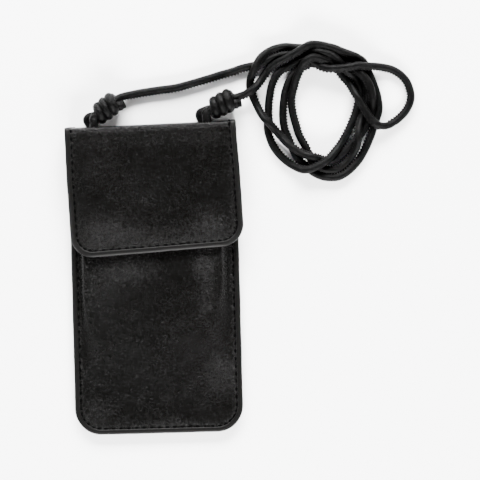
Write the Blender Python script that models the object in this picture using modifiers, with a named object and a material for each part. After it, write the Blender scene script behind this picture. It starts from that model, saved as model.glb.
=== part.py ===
"""Neck pouch wallet: a phone-sized leather pouch on a knotted leather neck cord.

The pouch lies on its back with the flap closed. +X runs across it, +Y towards the
fold of the flap and +Z up from the back. The origin is the middle of the back face.
"""
import math

import bmesh
import bpy
from mathutils import Vector

MM = 0.001

# Sheets and clearances
GAP = 0.3 * MM
LEATHER = 1.2 * MM
LINING = 0.4 * MM
BINDING = 0.6 * MM
BINDING_LIP = 3.6 * MM
BINDING_LIFT = 0.45 * MM
BINDING_STEP = 6.0 * MM
BINDING_END_GAP = 1.0 * MM

# Pouch body, measured over its edge binding
BODY_HALF_WIDTH = 49.2 * MM
BODY_HALF_LENGTH = 90.75 * MM
BODY_CORNER = 15.5 * MM
MOUTH_Y = 64.0 * MM
MOUTH_LIP = 3.5 * MM
MOUTH_BINDING_HALF_WIDTH = 40.5 * MM
BACK_LINING_TOP_Y = 78.0 * MM

# Rise of the front panel over the seam that joins it to the back
SEAM_TOP = LEATHER + GAP + LINING + GAP + LINING + GAP + LEATHER
POCKET_RISE = 5.7 * MM
POCKET_FOOT_Y = -84.0 * MM
POCKET_FULL_Y = 0.0
MOUTH_RISE = 1.2 * MM
MOUTH_RISE_Y = 42.0 * MM
SIDE_FOLD_OUT = 43.6 * MM
SIDE_FOLD_IN = 34.5 * MM

# Top end wall, which stands up from the back to the fold of the flap
WALL_BEND = 2.5 * MM
WALL_LEAN = 1.15 * MM
WALL_TOP_Z = 12.9 * MM
FOLD_Y = 88.7 * MM
FOLD_Z = 13.8 * MM

# Flap, measured over its edge binding
FLAP_HALF_WIDTH = 50.75 * MM
FLAP_END_Y = 15.4 * MM
FLAP_CORNER = 13.5 * MM
FLAP_TOP_Z = FOLD_Z + LEATHER / 2
FLAP_ROOT_GAP = 0.4 * MM
FLAP_LINING_ROOT_Y = 86.0 * MM
FLAP_SIDE_DROOP = 4.0 * MM
FLAP_SIDE_DROOP_X = 38.0 * MM
FLAP_END_DROOP = 1.2 * MM
FLAP_END_DROOP_Y = 20.0 * MM

# Magnetic snap between the flap and the front panel
SNAP_Y = 30.0 * MM
SNAP_RADIUS = 7.0 * MM
SOCKET_HOLE_RADIUS = 2.4 * MM
SOCKET_HEIGHT = 1.2 * MM
STUD_PLATE = 0.6 * MM
STUD_RADIUS = 1.9 * MM
STUD_LENGTH = 0.9 * MM
SNAP_EDGE = 0.2 * MM

# Card slot on the inside of the back
CARD_SLOT_HALF_WIDTH = 38.0 * MM
CARD_SLOT_LOW_Y = -48.0 * MM
CARD_SLOT_TOP_Y = 32.0 * MM
CARD_SLOT_THICKNESS = 0.8 * MM
THUMB_NOTCH_RADIUS = 9.0 * MM

# Lockstitch seams
STITCH_PITCH = 4.5 * MM
THREAD_RADIUS = 0.35 * MM
THREAD_SUNK = 0.4
STITCH_INSET = 4.8 * MM
SEAM_END_GAP = 2.0 * MM

# Neck cord and its two noose knots
CORD_RADIUS = 2.2 * MM
CORD_STEP = 10.0 * MM
LOOP_STEP = 1.7 * MM
KNOT_RADIUS = 6.35 * MM
KNOT_HALF_LENGTH = 7.6 * MM
KNOT_GROOVE = 1.1 * MM
KNOT_WRAPS = 3
WRAP_EDGE = 0.42
WRAP_CROWN = 0.20
KNOT_Z = 6.5 * MM
TAIL_LENGTH = 2.6 * MM
TAIL_OFFSET = 4.1 * MM
HOLE_RADIUS = 2.5 * MM
DRILL_DEPTH = 8.0 * MM
UPPER_HOLE_Z = 9.9 * MM
LOWER_HOLE_Z = 3.9 * MM
HOLE_SIDESTEP = 1.1 * MM
LOOP_STUB = 1.5 * MM
LOOP_STRAND_GAP = 0.1 * MM
LOOP_INSIDE = 5.5 * MM

# Loose coil that the rest of the cord lies in
COIL_X = 95.5 * MM
COIL_Y = 94.5 * MM
COIL_OUTER = 39.8 * MM
COIL_INNER = 16.0 * MM
COIL_LOW_Z = 0.1 * MM
COIL_TOP_Z = 12.0 * MM
COIL_EDGE = 3.0 * MM

# Where each knot lies, the way it points, and the path of its loop to the end wall
KNOTS = {
    "left": {
        "centre": (-26.3 * MM, 100.3 * MM),
        "angle": math.radians(35.6),
        "hole_x": -34.3 * MM,
        "tail_side": -1,
        "bow": [(-35.6, 93.6), (-35.1, 92.4)],
    },
    "right": {
        "centre": (41.5 * MM, 101.1 * MM),
        "angle": math.radians(26.0),
        "hole_x": 31.5 * MM,
        "tail_side": -1,
        "bow": [(31.3, 95.4), (31.1, 93.4)],
    },
}

# Free stretches of cord, in mm: from the left knot, at the side of the coil,
# and from the coil to the right knot
LEFT_RUN = [
    (-19.4, 105.2, 6.5), (-15.4, 107.4, 5.2), (-9.5, 108.9, 3.4), (-1.0, 110.2, 2.4),
    (10.0, 111.5, 2.3), (22.0, 113.8, 2.3), (33.0, 116.8, 2.3), (44.0, 119.8, 2.3),
    (54.5, 122.3, 2.3), (63.5, 124.3, 2.3), (70.5, 127.4, 2.3),
]
SIDE_LOOP = [
    (136.6, 86.2, 4.4), (141.5, 88.0, 3.0), (146.5, 91.7, 2.3), (150.4, 97.2, 2.3),
    (151.6, 103.4, 2.3), (149.7, 109.6, 2.3), (145.6, 114.9, 2.4), (139.6, 118.9, 3.4),
    (132.6, 120.9, 5.2), (127.0, 121.5, 6.6),
]
RIGHT_RUN = [(49.1, 104.8, 6.5), (52.4, 106.0, 6.6), (56.0, 107.9, 6.6)]

# Plain colours (linear) and roughness
BLACK_LEATHER = ((0.014, 0.0135, 0.013), 0.42)
EDGE_LEATHER = ((0.020, 0.0195, 0.019), 0.36)
LINING_CLOTH = ((0.022, 0.021, 0.021), 0.85)
THREAD = ((0.006, 0.006, 0.006), 0.65)
CORD_LEATHER = ((0.013, 0.0125, 0.012), 0.48)
STEEL = ((0.60, 0.60, 0.61), 0.28)

# Mesh density
ACROSS = (0.0, 0.35, 0.71, 0.76, 0.81, 0.86, 0.91, 1.0)
STRAIGHT_ROWS = 9
CORNER_STEP = 18
TURNED_STEPS = 24
BEND_ANGLES = (30, 60, 90)
NOTCH_STEP = 30
CURVE_STEPS = 12
CORD_ROUNDNESS = 2
THREAD_ROUNDNESS = 0
PROBE = 0.05 * MM
MERGE_DISTANCE = 0.01 * MM


def clear_scene():
    for old in list(bpy.data.objects):
        bpy.data.objects.remove(old, do_unlink=True)


def new_collection(name):
    collection = bpy.data.collections.new(name)
    bpy.context.scene.collection.children.link(collection)
    return collection


def add_object(name, data, collection):
    piece = bpy.data.objects.new(name, data)
    collection.objects.link(piece)
    return piece


def paint(piece, finish, metallic=0.0):
    colour, roughness = finish
    material = bpy.data.materials.new(piece.name + "_material")
    material.use_nodes = True
    shader = material.node_tree.nodes["Principled BSDF"]
    shader.inputs["Base Color"].default_value = (*colour, 1.0)
    shader.inputs["Roughness"].default_value = roughness
    shader.inputs["Metallic"].default_value = metallic
    piece.data.materials.append(material)


def smooth_step(start, end, value):
    """0 at start, 1 at end, with level ends. End may be the smaller of the two."""
    t = min(max((value - start) / (end - start), 0.0), 1.0)
    return t * t * (3.0 - 2.0 * t)


def front_height(x, y):
    """Outer face of the front panel: level along the seam, raised inside the side folds."""
    rise = POCKET_RISE * smooth_step(POCKET_FOOT_Y, POCKET_FULL_Y, y)
    rise += MOUTH_RISE * smooth_step(MOUTH_RISE_Y, MOUTH_Y, y)
    return SEAM_TOP + rise * smooth_step(SIDE_FOLD_OUT, SIDE_FOLD_IN, abs(x))


def flap_height(x, y):
    """Outer face of the closed flap, which droops at its sides and its free end."""
    side = smooth_step(FLAP_SIDE_DROOP_X, FLAP_HALF_WIDTH, abs(x))
    side *= smooth_step(FOLD_Y, FLAP_END_DROOP_Y, y)
    end = smooth_step(FLAP_END_DROOP_Y, FLAP_END_Y, y)
    return FLAP_TOP_Z - FLAP_SIDE_DROOP * side - FLAP_END_DROOP * end


def offset_point(height, x, y, distance):
    """The point of a height surface over (x, y), moved by distance along its normal."""
    slope_x = (height(x + PROBE, y) - height(x - PROBE, y)) / (2 * PROBE)
    slope_y = (height(x, y + PROBE) - height(x, y - PROBE)) / (2 * PROBE)
    normal = Vector((-slope_x, -slope_y, 1.0)).normalized()
    return Vector((x, y, height(x, y))) + normal * distance


def half_width_at(y, half_width, end_y, corner):
    """Half the width of an outline that has two round corners at its lower end."""
    drop = max(end_y + corner - y, 0.0)
    return half_width - corner + math.sqrt(max(corner * corner - drop * drop, 0.0))


def panel_rows(end_y, top_y, corner):
    """Rows of a panel from its round-cornered end up, close together in the corners."""
    rows = [end_y + corner * (1 - math.cos(math.radians(a))) for a in range(0, 90, CORNER_STEP)]
    straight_from = end_y + corner
    step = (top_y - straight_from) / STRAIGHT_ROWS
    return rows + [straight_from + step * i for i in range(STRAIGHT_ROWS + 1)]


def solidify(piece, thickness, side):
    """Give an open surface its thickness, on the side its normals point to or the other."""
    shell = piece.modifiers.new("thickness", "SOLIDIFY")
    shell.thickness = thickness
    shell.offset = side
    shell.use_even_offset = True


def grid_surface(name, columns, rows, place, collection):
    """A grid whose points are set by place(column, row)."""
    shape = bmesh.new()
    bmesh.ops.create_grid(
        shape, x_segments=len(columns) - 1, y_segments=len(rows) - 1, size=1.0)
    for vertex in shape.verts:
        column = round((vertex.co.x + 1.0) / 2.0 * (len(columns) - 1))
        row = round((vertex.co.y + 1.0) / 2.0 * (len(rows) - 1))
        vertex.co = place(columns[column], rows[row])
    mesh = bpy.data.meshes.new(name)
    shape.to_mesh(mesh)
    shape.free()
    mesh.shade_smooth()
    return add_object(name, mesh, collection)


def mirrored(stops):
    return [-stop for stop in reversed(stops[1:])] + list(stops)


def panel(name, height, depth, thickness, outline, top_y, collection):
    """A sheet that follows a height surface, depth below it, inside a rounded outline."""
    half_width, end_y, corner = outline

    def place(across, y):
        x = across * half_width_at(y, half_width, end_y, corner)
        return offset_point(height, x, y, -depth)

    rows = panel_rows(end_y, top_y, corner)
    piece = grid_surface(name, mirrored(ACROSS), rows, place, collection)
    solidify(piece, thickness, -1)
    return piece


def outline_path(half_width, end_y, corner, top_y, spacing):
    """Points and outward directions from the upper left, round the lower end, to the right."""
    side = top_y - (end_y + corner)
    arc = corner * math.pi / 2
    bottom = 2 * (half_width - corner)
    total = 2 * side + 2 * arc + bottom
    count = max(round(total / spacing), 2)
    path = []
    for i in range(count + 1):
        along = total * i / count
        mirror = 1 if along > total / 2 else -1
        along = min(along, total - along)
        if along < side:
            x, y, angle = half_width, top_y - along, 0.0
        elif along < side + arc:
            angle = (along - side) / corner
            x = half_width - corner + corner * math.cos(angle)
            y = end_y + corner - corner * math.sin(angle)
        else:
            x, y, angle = half_width - corner - (along - side - arc), end_y, math.pi / 2
        outward = Vector((mirror * math.cos(angle), -math.sin(angle)))
        path.append((Vector((mirror * x, y)), outward))
    return path


def edge_binding(name, height, outline, top_y, wall_drop, collection):
    """A strip that lies on a panel's edge and turns down over its rim."""
    path = outline_path(*outline, top_y, BINDING_STEP)
    lift = BINDING_LIFT + BINDING
    lip = [(BINDING_LIP, lift), (0.0, lift), (0.0, -wall_drop)]

    def place(step, position):
        centre, outward = path[step]
        inset, above = lip[position]
        flat = centre - outward * inset
        return Vector((flat.x, flat.y, height(flat.x, flat.y) + above))

    piece = grid_surface(name, range(len(path)), range(len(lip)), place, collection)
    solidify(piece, BINDING, 1)
    return piece


def seam(name, height, outline, top_y, collection):
    """The thread of one seam, just above the leather: thick at a stitch, thin between two."""
    curve = bpy.data.curves.new(name, "CURVE")
    curve.dimensions = "3D"
    curve.bevel_depth = THREAD_RADIUS
    curve.bevel_resolution = THREAD_ROUNDNESS
    curve.use_fill_caps = True
    path = outline_path(*outline, top_y, STITCH_PITCH / 2)
    spline = curve.splines.new("POLY")
    spline.points.add(len(path) - 1)
    for i, (centre, outward) in enumerate(path):
        flat = centre - outward * STITCH_INSET
        place = offset_point(height, flat.x, flat.y, GAP + THREAD_RADIUS)
        spline.points[i].co = (*place, 1.0)
        spline.points[i].radius = 1.0 if i % 2 else THREAD_SUNK
    return add_object(name, curve, collection)


def turned(name, profile, collection):
    """A solid of revolution about Z. The profile runs down its outer side."""
    mesh = bpy.data.meshes.new(name)
    edges = [(i, i + 1) for i in range(len(profile) - 1)]
    mesh.from_pydata([(radius, 0.0, z) for radius, z in profile], edges, [])
    piece = add_object(name, mesh, collection)
    screw = piece.modifiers.new("turn", "SCREW")
    screw.steps = TURNED_STEPS
    screw.render_steps = TURNED_STEPS
    screw.use_merge_vertices = True
    screw.merge_threshold = MERGE_DISTANCE
    return piece


def smooth_route(points, spacing):
    """Points spaced evenly along a smooth curve through the given ones."""
    knots = [Vector(point) for point in points]
    knots = [2 * knots[0] - knots[1]] + knots + [2 * knots[-1] - knots[-2]]
    fine = []
    for before, start, end, after in zip(knots, knots[1:], knots[2:], knots[3:]):
        for i in range(CURVE_STEPS):
            t = i / CURVE_STEPS
            fine.append(0.5 * (
                2 * start
                + (end - before) * t
                + (2 * before - 5 * start + 4 * end - after) * t ** 2
                + (3 * start - before - 3 * end + after) * t ** 3))
    fine.append(knots[-2])
    lengths = [0.0]
    for start, end in zip(fine, fine[1:]):
        lengths.append(lengths[-1] + (end - start).length)
    count = max(round(lengths[-1] / spacing), 2)
    route = []
    position = 0
    for i in range(count + 1):
        target = lengths[-1] * i / count
        while position < len(fine) - 2 and lengths[position + 1] < target:
            position += 1
        span = lengths[position + 1] - lengths[position]
        share = (target - lengths[position]) / span
        route.append(fine[position].lerp(fine[position + 1], min(share, 1.0)))
    return route


def cord_tube(name, route, collection):
    curve = bpy.data.curves.new(name, "CURVE")
    curve.dimensions = "3D"
    curve.bevel_depth = CORD_RADIUS
    curve.bevel_resolution = CORD_ROUNDNESS
    curve.use_fill_caps = True
    spline = curve.splines.new("POLY")
    spline.points.add(len(route) - 1)
    for point, place in zip(spline.points, route):
        point.co = (*place, 1.0)
    piece = add_object(name, curve, collection)
    paint(piece, CORD_LEATHER)
    return piece


def drill(piece, name, x, z, cutters):
    """A round hole for the cord, along Y through the end wall."""
    shape = bmesh.new()
    bmesh.ops.create_cone(
        shape, cap_ends=True, segments=TURNED_STEPS,
        radius1=HOLE_RADIUS, radius2=HOLE_RADIUS, depth=DRILL_DEPTH)
    mesh = bpy.data.meshes.new(name)
    shape.to_mesh(mesh)
    shape.free()
    cutter = add_object(name, mesh, cutters)
    cutter.location = (x, BODY_HALF_LENGTH, z)
    cutter.rotation_euler = (math.pi / 2, 0.0, 0.0)
    cutter.hide_render = True
    cutter.display_type = "WIRE"
    cut = piece.modifiers.new(name, "BOOLEAN")
    cut.operation = "DIFFERENCE"
    cut.solver = "EXACT"
    cut.object = cutter


def body_inner_outline():
    """Outline of the body's panels, inside the wall of the binding."""
    inset = BINDING + GAP
    return (BODY_HALF_WIDTH - inset, inset - BODY_HALF_LENGTH, BODY_CORNER - inset)


def flap_inner_outline():
    inset = BINDING + GAP
    return (FLAP_HALF_WIDTH - inset, FLAP_END_Y + inset, FLAP_CORNER - inset)


def make_back_panel(parts, cutters):
    """Back and top end wall in one sheet, with two holes for each loop of the cord."""
    half_width, end_y, corner = body_inner_outline()
    profile = [(y, 0.0) for y in panel_rows(end_y, BODY_HALF_LENGTH - WALL_BEND, corner)]
    for angle in BEND_ANGLES:
        turn = math.radians(angle)
        y = BODY_HALF_LENGTH - WALL_BEND + WALL_BEND * math.sin(turn)
        profile.append((y, WALL_BEND - WALL_BEND * math.cos(turn)))
    profile.append((BODY_HALF_LENGTH - WALL_LEAN, WALL_TOP_Z))

    def place(across, station):
        y, z = station
        return Vector((across * half_width_at(y, half_width, end_y, corner), y, z))

    piece = grid_surface("back_panel", mirrored(ACROSS), profile, place, parts)
    solidify(piece, LEATHER, 1)
    for side, knot in KNOTS.items():
        x = knot["hole_x"]
        drill(piece, side + "_upper_hole", x + HOLE_SIDESTEP, UPPER_HOLE_Z, cutters)
        drill(piece, side + "_lower_hole", x - HOLE_SIDESTEP, LOWER_HOLE_Z, cutters)
    paint(piece, BLACK_LEATHER)


def make_back_lining(parts):
    def back_inside(x, y):
        return LEATHER + GAP + LINING

    outline = body_inner_outline()
    piece = panel("back_lining", back_inside, 0.0, LINING, outline, BACK_LINING_TOP_Y, parts)
    paint(piece, LINING_CLOTH)


def make_card_slot(parts):
    """One open-topped slot on the back lining, with a thumb notch in its upper edge."""
    curve = bpy.data.curves.new("card_slot", "CURVE")
    curve.dimensions = "2D"
    curve.fill_mode = "BOTH"
    curve.extrude = CARD_SLOT_THICKNESS / 2
    outline = [
        (-CARD_SLOT_HALF_WIDTH, CARD_SLOT_TOP_Y),
        (-CARD_SLOT_HALF_WIDTH, CARD_SLOT_LOW_Y),
        (CARD_SLOT_HALF_WIDTH, CARD_SLOT_LOW_Y),
        (CARD_SLOT_HALF_WIDTH, CARD_SLOT_TOP_Y),
    ]
    for angle in range(0, 181, NOTCH_STEP):
        turn = math.radians(angle)
        x = THUMB_NOTCH_RADIUS * math.cos(turn)
        outline.append((x, CARD_SLOT_TOP_Y - THUMB_NOTCH_RADIUS * math.sin(turn)))
    spline = curve.splines.new("POLY")
    spline.points.add(len(outline) - 1)
    for point, (x, y) in zip(spline.points, outline):
        point.co = (x, y, 0.0, 1.0)
    spline.use_cyclic_u = True
    piece = add_object("card_slot", curve, parts)
    lining_top = LEATHER + GAP + LINING
    piece.location = (0.0, 0.0, lining_top + GAP + CARD_SLOT_THICKNESS / 2)
    paint(piece, BLACK_LEATHER)


def make_front(parts):
    outline = body_inner_outline()
    front = panel("front_panel", front_height, 0.0, LEATHER, outline, MOUTH_Y, parts)
    paint(front, BLACK_LEATHER)
    lining_depth = LEATHER + GAP
    lining = panel("front_lining", front_height, lining_depth, LINING, outline, MOUTH_Y, parts)
    paint(lining, LINING_CLOTH)


def make_mouth_binding(parts):
    """A strip folded over the upper edge of the front panel and its lining."""
    depth = LEATHER + GAP + LINING + GAP
    outer_y = MOUTH_Y + GAP
    inner_y = MOUTH_Y - MOUTH_LIP
    lip = [(inner_y, GAP), (outer_y, GAP), (outer_y, -depth), (inner_y, -depth)]

    def place(across, station):
        y, lift = station
        return offset_point(front_height, across * MOUTH_BINDING_HALF_WIDTH, y, lift)

    piece = grid_surface("mouth_binding", mirrored(ACROSS), lip, place, parts)
    solidify(piece, BINDING, 1)
    paint(piece, EDGE_LEATHER)


def make_body_edge(parts):
    outline = (BODY_HALF_WIDTH, -BODY_HALF_LENGTH, BODY_CORNER)

    def seam_height(x, y):
        return SEAM_TOP

    top_y = MOUTH_Y - MOUTH_LIP - BINDING_END_GAP
    wall_drop = SEAM_TOP - GAP
    binding = edge_binding("body_binding", seam_height, outline, top_y, wall_drop, parts)
    paint(binding, EDGE_LEATHER)
    thread = seam("body_seam_thread", front_height, outline, top_y - SEAM_END_GAP, parts)
    paint(thread, THREAD)


def make_flap(parts):
    outline = flap_inner_outline()
    root_y = FOLD_Y - FLAP_ROOT_GAP
    leather = panel("flap_panel", flap_height, 0.0, LEATHER, outline, root_y, parts)
    paint(leather, BLACK_LEATHER)
    lining_depth = LEATHER + GAP
    lining = panel(
        "flap_lining", flap_height, lining_depth, LINING, outline, FLAP_LINING_ROOT_Y, parts)
    paint(lining, LINING_CLOTH)
    edge = (FLAP_HALF_WIDTH, FLAP_END_Y, FLAP_CORNER)
    wall_drop = LEATHER + GAP + LINING
    binding = edge_binding("flap_binding", flap_height, edge, FLAP_LINING_ROOT_Y, wall_drop, parts)
    paint(binding, EDGE_LEATHER)
    seam_top_y = FLAP_LINING_ROOT_Y - SEAM_END_GAP
    thread = seam("flap_seam_thread", flap_height, edge, seam_top_y, parts)
    paint(thread, THREAD)


def make_snap(parts):
    """Magnetic snap: a ring on the front panel, a plate with a stub under the flap."""
    low = GAP
    high = GAP + SOCKET_HEIGHT
    socket = turned("snap_socket", [
        (SOCKET_HOLE_RADIUS, low),
        (SOCKET_HOLE_RADIUS, high),
        (SNAP_RADIUS - SNAP_EDGE, high),
        (SNAP_RADIUS, high - SNAP_EDGE),
        (SNAP_RADIUS, low),
        (SOCKET_HOLE_RADIUS, low),
    ], parts)
    socket.location = (0.0, SNAP_Y, front_height(0.0, SNAP_Y))
    paint(socket, STEEL, metallic=1.0)
    stud = turned("snap_stud", [
        (0.0, 0.0),
        (SNAP_RADIUS - SNAP_EDGE, 0.0),
        (SNAP_RADIUS, -SNAP_EDGE),
        (SNAP_RADIUS, -STUD_PLATE),
        (STUD_RADIUS, -STUD_PLATE),
        (STUD_RADIUS, -STUD_PLATE - STUD_LENGTH),
        (0.0, -STUD_PLATE - STUD_LENGTH),
    ], parts)
    under_flap = FLAP_TOP_Z - LEATHER - GAP - LINING - GAP
    stud.location = (0.0, SNAP_Y, under_flap)
    paint(stud, STEEL, metallic=1.0)


def make_knot(side, knot, parts):
    """A barrel of three wraps lying on its side, and the cut end of the cord beside it."""
    wrap = 2 * KNOT_HALF_LENGTH / KNOT_WRAPS
    profile = [(0.0, KNOT_HALF_LENGTH)]
    for i in range(KNOT_WRAPS):
        middle = KNOT_HALF_LENGTH - wrap * (i + 0.5)
        profile.append((KNOT_RADIUS - KNOT_GROOVE, middle + WRAP_EDGE * wrap))
        profile.append((KNOT_RADIUS, middle + WRAP_CROWN * wrap))
        profile.append((KNOT_RADIUS, middle - WRAP_CROWN * wrap))
        profile.append((KNOT_RADIUS - KNOT_GROOVE, middle - WRAP_EDGE * wrap))
    profile.append((0.0, -KNOT_HALF_LENGTH))
    barrel = turned("knot_" + side, profile, parts)
    angle = knot["angle"]
    along = Vector((math.cos(angle), math.sin(angle), 0.0))
    centre = Vector((*knot["centre"], KNOT_Z))
    barrel.rotation_euler = (0.0, math.pi / 2, angle)
    barrel.location = centre
    paint(barrel, CORD_LEATHER)
    aside = Vector((-along.y, along.x, 0.0)) * knot["tail_side"] * TAIL_OFFSET
    start = centre + along * (KNOT_HALF_LENGTH + GAP) + aside
    start.z = CORD_RADIUS + GAP
    cord_tube("cord_tail_" + side, [start, start + along * TAIL_LENGTH], parts)


def make_loop(side, knot, parts):
    """The loop of one noose: out of the knot, in through the end wall and back out."""
    angle = knot["angle"]
    along = Vector((math.cos(angle), math.sin(angle), 0.0))
    face = Vector((*knot["centre"], 0.0)) - along * (KNOT_HALF_LENGTH + GAP)
    bow = [face - along * LOOP_STUB]
    bow += [Vector((x * MM, y * MM, 0.0)) for x, y in knot["bow"]]
    middle_z = (UPPER_HOLE_Z + LOWER_HOLE_Z) / 2
    spread = (UPPER_HOLE_Z - LOWER_HOLE_Z) / 2
    start_spread = CORD_RADIUS + LOOP_STRAND_GAP
    outer_y = BODY_HALF_LENGTH
    inner_y = BODY_HALF_LENGTH - LOOP_INSIDE

    def strand(level):
        """Points from the knot to inside the wall, above or below the middle."""
        points = [face + Vector((0.0, 0.0, KNOT_Z + level * start_spread))]
        for i, point in enumerate(bow):
            share = (i + 1) / len(bow)
            lift = start_spread + (spread - start_spread) * share
            height = KNOT_Z + (middle_z - KNOT_Z) * share + level * lift
            shift = Vector((level * HOLE_SIDESTEP * share, 0.0, height))
            points.append(point + shift)
        x = knot["hole_x"] + level * HOLE_SIDESTEP
        points.append(Vector((x, outer_y, middle_z + level * spread)))
        points.append(Vector((x, inner_y, middle_z + level * spread)))
        return points

    turn = Vector((knot["hole_x"], inner_y - spread, middle_z))
    route = strand(1) + [turn] + list(reversed(strand(-1)))
    cord_tube("cord_loop_" + side, smooth_route(route, LOOP_STEP), parts)


def make_coil(parts):
    """The outer shape of the loose coil, as one turned ring."""
    coil = turned("cord_coil", [
        (COIL_INNER, COIL_TOP_Z - COIL_EDGE),
        (COIL_INNER + COIL_EDGE, COIL_TOP_Z),
        (COIL_OUTER - COIL_EDGE, COIL_TOP_Z),
        (COIL_OUTER, COIL_TOP_Z - COIL_EDGE),
        (COIL_OUTER, COIL_LOW_Z + COIL_EDGE),
        (COIL_OUTER - COIL_EDGE, COIL_LOW_Z),
        (COIL_INNER + COIL_EDGE, COIL_LOW_Z),
        (COIL_INNER, COIL_LOW_Z + COIL_EDGE),
        (COIL_INNER, COIL_TOP_Z - COIL_EDGE),
    ], parts)
    coil.location = (COIL_X, COIL_Y, 0.0)
    paint(coil, CORD_LEATHER)


def make_cord(parts):
    runs = {"cord_run_left": LEFT_RUN, "cord_side_loop": SIDE_LOOP, "cord_run_right": RIGHT_RUN}
    for name, points in runs.items():
        route = [Vector(point) * MM for point in points]
        cord_tube(name, smooth_route(route, CORD_STEP), parts)
    for side, knot in KNOTS.items():
        make_knot(side, knot, parts)
        make_loop(side, knot, parts)
    make_coil(parts)


def main():
    clear_scene()
    parts = new_collection("neck_pouch_wallet")
    cutters = new_collection("cutters")
    make_back_panel(parts, cutters)
    make_back_lining(parts)
    make_card_slot(parts)
    make_front(parts)
    make_mouth_binding(parts)
    make_body_edge(parts)
    make_flap(parts)
    make_snap(parts)
    make_cord(parts)


main()
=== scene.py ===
import math

import bmesh
import bpy
import numpy as np
from mathutils import Matrix, Vector, noise


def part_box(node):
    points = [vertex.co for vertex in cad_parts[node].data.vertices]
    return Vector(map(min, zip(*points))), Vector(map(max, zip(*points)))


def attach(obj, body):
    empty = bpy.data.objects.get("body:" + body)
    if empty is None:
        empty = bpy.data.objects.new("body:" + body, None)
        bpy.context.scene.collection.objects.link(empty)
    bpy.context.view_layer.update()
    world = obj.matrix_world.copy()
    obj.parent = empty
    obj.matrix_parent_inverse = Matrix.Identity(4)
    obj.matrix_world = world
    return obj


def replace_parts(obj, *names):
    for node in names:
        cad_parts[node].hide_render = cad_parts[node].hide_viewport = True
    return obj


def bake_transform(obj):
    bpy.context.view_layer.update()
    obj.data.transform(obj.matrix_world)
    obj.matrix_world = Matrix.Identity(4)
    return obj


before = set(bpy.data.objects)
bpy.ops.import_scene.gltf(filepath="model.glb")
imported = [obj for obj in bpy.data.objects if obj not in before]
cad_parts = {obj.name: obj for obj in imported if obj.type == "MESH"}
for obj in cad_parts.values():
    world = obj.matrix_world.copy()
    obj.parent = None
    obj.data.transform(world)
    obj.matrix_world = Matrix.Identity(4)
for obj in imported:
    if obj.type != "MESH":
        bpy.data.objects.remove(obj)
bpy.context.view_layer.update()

# Neck pouch wallet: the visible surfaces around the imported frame, in metres.
MM = 0.001

# ---------------------------------------------------------------- sizes from the frame
body_low, body_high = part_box("body_binding")
panel_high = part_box("back_panel")[1]
front_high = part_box("front_panel")[1]
mouth_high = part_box("mouth_binding")[1]
flap_low, flap_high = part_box("flap_binding")
flap_sheet_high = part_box("flap_panel")[1]

BODY_HALF_WIDTH = body_high[0]
BODY_END_Y = body_low[1]
WALL_Y = panel_high[1]
MOUTH_Y = front_high[1]
FLAP_HALF_WIDTH = flap_high[0]
FLAP_END_Y = flap_low[1]
FLAP_TOP_Z = flap_sheet_high[2]

# Thickness of the two sheets, and height of the body's sewn edge
LEATHER = 1.2 * MM
LINING = 0.5 * MM
SEAM_TOP = 4.1 * MM
BODY_CORNER = 15.5 * MM
FLAP_CORNER = 13.5 * MM

# Stitches, and how far inside the rim each seam runs
STITCH_PITCH = 4.5 * MM
STITCH_LENGTH = 2.5 * MM
BODY_SEAM = 3.5 * MM
FLAP_SEAM = 3.9 * MM
CORD_RADIUS = 2.2 * MM


def clamp(value):
    return min(max(value, 0.0), 1.0)


def smooth_step(start, end, value):
    """0 at start, 1 at end, with level ends. End may be the smaller of the two."""
    t = clamp((value - start) / (end - start))
    return t * t * (3.0 - 2.0 * t)


def bell(distance, width):
    """A soft bump: 1 in its middle, and next to nothing from two widths on."""
    return math.exp(-(distance / width) ** 2)


def ripple(x, y, scale, seed):
    """Soft unevenness between about -1 and 1."""
    return noise.noise(Vector((x * scale, y * scale, seed)))


def ripples(x, y, waves):
    """Sum of several ripples, each given as its height, scale and seed."""
    return sum(height * ripple(x, y, scale, seed) for height, scale, seed in waves)


def fill(node, **values):
    """Set inputs of a shader node by name, with _ for each space."""
    for key, value in values.items():
        node.inputs[key.replace("_", " ")].default_value = value


# ---------------------------------------------------------------- camera and light
VIEW_ROLL = math.radians(-1.5)
VIEW_CENTRE = (50.0 * MM, 21.3 * MM)
VIEW_WIDTH = 282.2 * MM
VIEW_DISTANCE = 1.5
SENSOR = 36.0

# Area lights: name, place, size across and down, and power in watts
LIGHTS = [
    ("light_top", (0.0, 1.5, 0.80), (1.8, 0.6), 330.0),
    ("light_left", (-1.6, 0.1, 0.80), (0.6, 1.6), 30.0),
    ("light_right", (1.7, -0.2, 0.80), (0.6, 1.6), 30.0),
    ("light_front", (0.1, -1.6, 0.90), (1.6, 0.5), 260.0),
]
LIGHT_AIM = Vector((0.02, 0.02, 0.0))

# Strength of the surroundings, and the heights on the unit sphere between which it fades
HORIZON_LIGHT = 0.5
OVERHEAD_LIGHT = 0.06
HORIZON_HEIGHT = 0.02
OVERHEAD_HEIGHT = 0.40


def add_camera():
    camera = bpy.data.cameras.new("camera")
    camera.sensor_width = SENSOR
    camera.lens = SENSOR * VIEW_DISTANCE / VIEW_WIDTH
    holder = bpy.data.objects.new("camera", camera)
    holder.location = (*VIEW_CENTRE, VIEW_DISTANCE)
    holder.rotation_euler = (0.0, 0.0, VIEW_ROLL)
    bpy.context.scene.collection.objects.link(holder)
    bpy.context.scene.camera = holder


def add_light(name, place, size, power):
    light = bpy.data.lights.new(name, "AREA")
    light.shape = "RECTANGLE"
    light.size, light.size_y = size
    light.energy = power
    holder = bpy.data.objects.new(name, light)
    holder.location = place
    holder.rotation_euler = (LIGHT_AIM - Vector(place)).to_track_quat("-Z", "Y").to_euler()
    bpy.context.scene.collection.objects.link(holder)


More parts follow.
